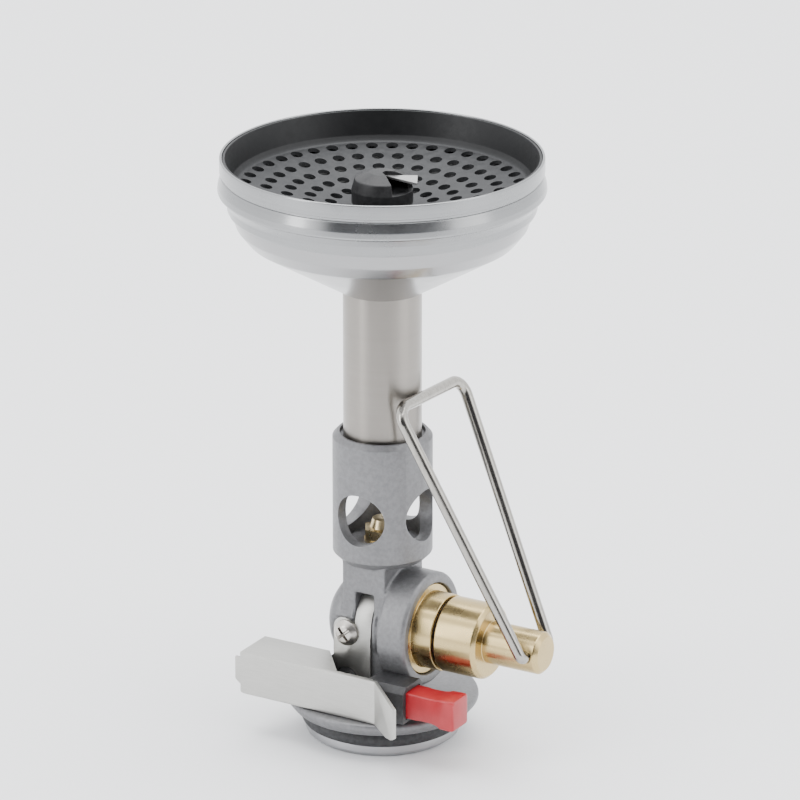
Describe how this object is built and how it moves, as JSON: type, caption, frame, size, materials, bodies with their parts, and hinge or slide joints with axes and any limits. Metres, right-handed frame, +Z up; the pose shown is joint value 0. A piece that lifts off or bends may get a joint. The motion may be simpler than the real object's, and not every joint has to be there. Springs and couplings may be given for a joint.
{
  "type": "canister gas stove burner",
  "caption": "Compact screw-on gas canister stove with a dished burner head on a mixing tube, a pressure regulator, a folding wire control handle and a push-button igniter.",
  "frame": {"origin": "on the mixing tube's axis, at the bottom of the brass canister socket, where the base rests", "axes": "+Z up the mixing tube towards the burner head; +X along the regulator towards its brass knob; the igniter is on the -Y side"},
  "size_m": [0.0507, 0.047, 0.0883],
  "materials": {
    "cast_alloy": "fine matte cast, slightly mottled",
    "head_steel": "satin, with fine turning lines",
    "tube_steel": "satin drawn tube",
    "bracket_steel": "bright rolled sheet",
    "spring_steel": "drawn wire",
    "wire_steel": "polished wire",
    "screw_nickel": "nickel plated",
    "brass": "satin turned",
    "charcoal_plate": "heat-darkened, low sheen",
    "gauze_steel": "dark fine mesh",
    "black_hood": "semi-matte black",
    "spark_steel": "bright cut sheet",
    "black_rubber": "matte",
    "black_plastic": "matte moulded",
    "red_plastic": "glossy moulded",
    "ceramic": "white glazed ceramic",
    "crystal_ceramic": "fired ceramic",
    "lead_sleeve": "silicone sleeve"
  },
  "bodies": {
    "burner_body": {"base_ring": "cast_alloy", "base_rubber_ring": "black_rubber", "canister_socket": "brass", "canister_seal": "black_rubber", "valve_probe": "brass", "inlet_filter": "brass", "valve_casting": "cast_alloy", "valve_seat": "black_rubber", "poppet_spring": "spring_steel", "diaphragm": "black_rubber", "bonnet": "brass", "regulator_spring": "spring_steel", "spindle_o_ring": "black_rubber", "gas_jet": "brass", "jet_washer": "brass", "mixing_tube": "tube_steel", "burner_bowl": "head_steel", "burner_rim": "head_steel", "burner_plate": "charcoal_plate", "flame_gauze": "gauze_steel", "ignition_hood": "black_hood", "spark_tongue": "spark_steel", "electrode_insulator": "ceramic", "electrode": "spark_steel", "ignition_lead": "lead_sleeve", "igniter_bracket": "bracket_steel", "bracket_screw": "screw_nickel", "piezo_housing": "black_plastic", "piezo_crystal": "crystal_ceramic", "striker_spring": "spring_steel", "button_spring": "spring_steel"},
    "seat_carrier": {"spring_seat": "brass"},
    "spindle_group": {"spindle": "brass", "spindle_stop_ring": "spring_steel"},
    "handle_group": {"handle": "wire_steel"},
    "poppet_group": {"poppet": "brass", "diaphragm_plate": "brass"},
    "button_group": {"igniter_button": "red_plastic"},
    "striker_group": {"striker": "spring_steel"}
  },
  "joints": [
    {"name": "spindle_travel", "type": "slide", "parent": "burner_body", "child": "seat_carrier", "axis": [1, 0, 0], "range_m": [-0.000222, 0.0005], "deforming": ["regulator_spring"]},
    {"name": "spindle_turn", "type": "hinge", "parent": "seat_carrier", "child": "spindle_group", "pos_m": [0.0252, 0, 0.0174], "axis": [1, 0, 0], "range_deg": [-180, 80]},
    {"name": "handle_fold", "type": "hinge", "parent": "spindle_group", "child": "handle_group", "pos_m": [0.0254, 0, 0.0174], "axis": [0, 0.9986, -0.0523], "range_deg": [0, 150]},
    {"name": "igniter_press", "type": "slide", "parent": "burner_body", "child": "button_group", "axis": [-1, 0, 0], "range_m": [0, 0.0035], "stiffness_N_per_m": 1500, "springref_m": -0.003, "deforming": ["button_spring"]},
    {"name": "striker_travel", "type": "slide", "parent": "burner_body", "child": "striker_group", "axis": [-1, 0, 0], "range_m": [0, 0.002], "deforming": ["striker_spring"]},
    {"name": "poppet_travel", "type": "slide", "parent": "burner_body", "child": "poppet_group", "axis": [-1, 0, 0], "range_m": [0, 0.0004], "stiffness_N_per_m": 2000, "springref_m": -0.001, "deforming": ["poppet_spring", "diaphragm"]}
  ],
  "couplings": [
    {"joint": "spindle_turn", "follows": "spindle_travel", "rad_per_m": -6283},
    {"joint": "striker_travel", "follows": "igniter_press", "ratio": 0.57143}
  ]
}
